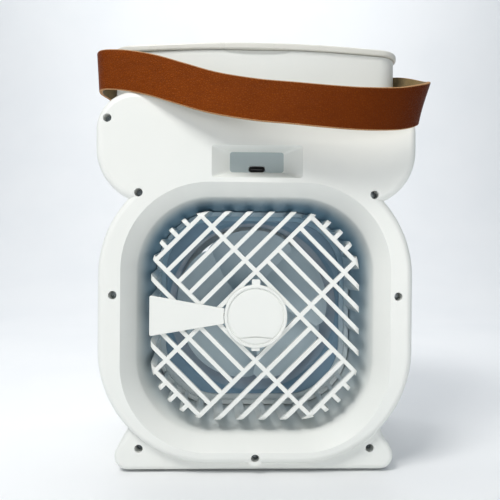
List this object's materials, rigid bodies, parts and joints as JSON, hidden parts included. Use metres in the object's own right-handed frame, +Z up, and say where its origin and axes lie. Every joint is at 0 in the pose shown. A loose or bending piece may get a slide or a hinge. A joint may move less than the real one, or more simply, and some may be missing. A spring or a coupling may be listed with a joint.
{
  "type": "desktop misting fan",
  "caption": "Rounded desktop fan with a cage air inlet in a deep recess, a lidded water tank, a misting row, push buttons and a leather carry strap.",
  "frame": {"origin": "centre of the casing's width and depth at table level, 1.2 mm under the bottom cover's flat underside", "axes": "+Z up; +Y out of the air inlet at the rear; -Y out of the air outlet and the buttons at the front; +X to the left seen from behind"},
  "size_m": [0.1847, 0.1475, 0.2402],
  "materials": {
    "casing_white": "fine satin moulding",
    "duct_white": "fine satin moulding",
    "tank_white": "semi-gloss moulding",
    "lid_white": "semi-gloss moulding",
    "blade_grey": "smooth semi-gloss",
    "trim_grey": "smooth",
    "button_white": "smooth",
    "strap_leather": "pebble grain, tan cut edges",
    "stud_brass": "brushed",
    "foot_rubber": "matt",
    "seal_silicone": "matt translucent silicone",
    "plain_steel": "plain",
    "lead_black": "smooth PVC sleeve",
    "board_green": "solder mask",
    "led_white": "smooth",
    "wick_cotton": "compressed cotton"
  },
  "bodies": {
    "casing": {"rear_shell": "casing_white", "front_shell": "casing_white", "base_plate": "casing_white", "rear_grille": "casing_white", "motor_hub_cap": "casing_white", "wire_cover": "casing_white", "front_grille": "casing_white", "front_grille_cap": "casing_white", "fan_shroud": "duct_white", "motor_can": "plain_steel", "motor_lead": "lead_black", "water_tank": "tank_white", "strap_stud_left": "stud_brass", "strap_stud_right": "stud_brass", "strap_washer_left": "foot_rubber", "strap_washer_right": "foot_rubber", "mist_bar": "trim_grey", "control_panel": "trim_grey", "main_board": "board_green", "usb_board": "board_green", "led_strip": "led_white", "usb_socket": "plain_steel", "foot_1": "foot_rubber", "foot_2": "foot_rubber", "foot_3": "foot_rubber", "foot_4": "foot_rubber", "mist_nozzle_1": "casing_white", "atomiser_disc_1": "plain_steel", "wick_1": "wick_cotton", "mist_nozzle_2": "casing_white", "atomiser_disc_2": "plain_steel", "wick_2": "wick_cotton", "mist_nozzle_3": "casing_white", "atomiser_disc_3": "plain_steel", "wick_3": "wick_cotton", "mist_nozzle_4": "casing_white", "atomiser_disc_4": "plain_steel", "wick_4": "wick_cotton", "mist_nozzle_5": "casing_white", "atomiser_disc_5": "plain_steel", "wick_5": "wick_cotton", "case_screw_1": "plain_steel", "case_screw_2": "plain_steel", "case_screw_3": "plain_steel", "case_screw_4": "plain_steel", "case_screw_5": "plain_steel", "case_screw_6": "plain_steel", "case_screw_7": "plain_steel", "case_screw_8": "plain_steel", "case_screw_9": "plain_steel"},
    "fan_rotor": {"fan_impeller": "blade_grey", "motor_shaft": "plain_steel"},
    "lid": {"tank_lid": "lid_white", "lid_seal": "seal_silicone"},
    "strap": {"carry_strap": "strap_leather"},
    "power_button": {"button_power": "button_white"},
    "wind_button": {"button_wind": "button_white"},
    "mist_button": {"button_mist": "button_white"},
    "light_button": {"button_light": "button_white"}
  },
  "joints": [
    {"name": "fan_spin", "type": "hinge", "parent": "casing", "child": "fan_rotor", "pos_m": [0, 0, 0.0865], "axis": [0, -1, 0], "continuous": true},
    {"name": "lid_lift", "type": "slide", "parent": "casing", "child": "lid", "axis": [0, 0, 1], "range_m": [0, 0.04]},
    {"name": "strap_swing", "type": "hinge", "parent": "casing", "child": "strap", "pos_m": [0, 0.008, 0.222], "axis": [-1, 0, 0], "range_deg": [-110, 0]},
    {"name": "power_press", "type": "slide", "parent": "casing", "child": "power_button", "axis": [0, 1, 0], "range_m": [0, 0.0008], "stiffness_N_per_m": 400},
    {"name": "wind_press", "type": "slide", "parent": "casing", "child": "wind_button", "axis": [0, 1, 0], "range_m": [0, 0.0008], "stiffness_N_per_m": 400},
    {"name": "mist_press", "type": "slide", "parent": "casing", "child": "mist_button", "axis": [0, 1, 0], "range_m": [0, 0.0008], "stiffness_N_per_m": 400},
    {"name": "light_press", "type": "slide", "parent": "casing", "child": "light_button", "axis": [0, 1, 0], "range_m": [0, 0.0008], "stiffness_N_per_m": 400}
  ]
}
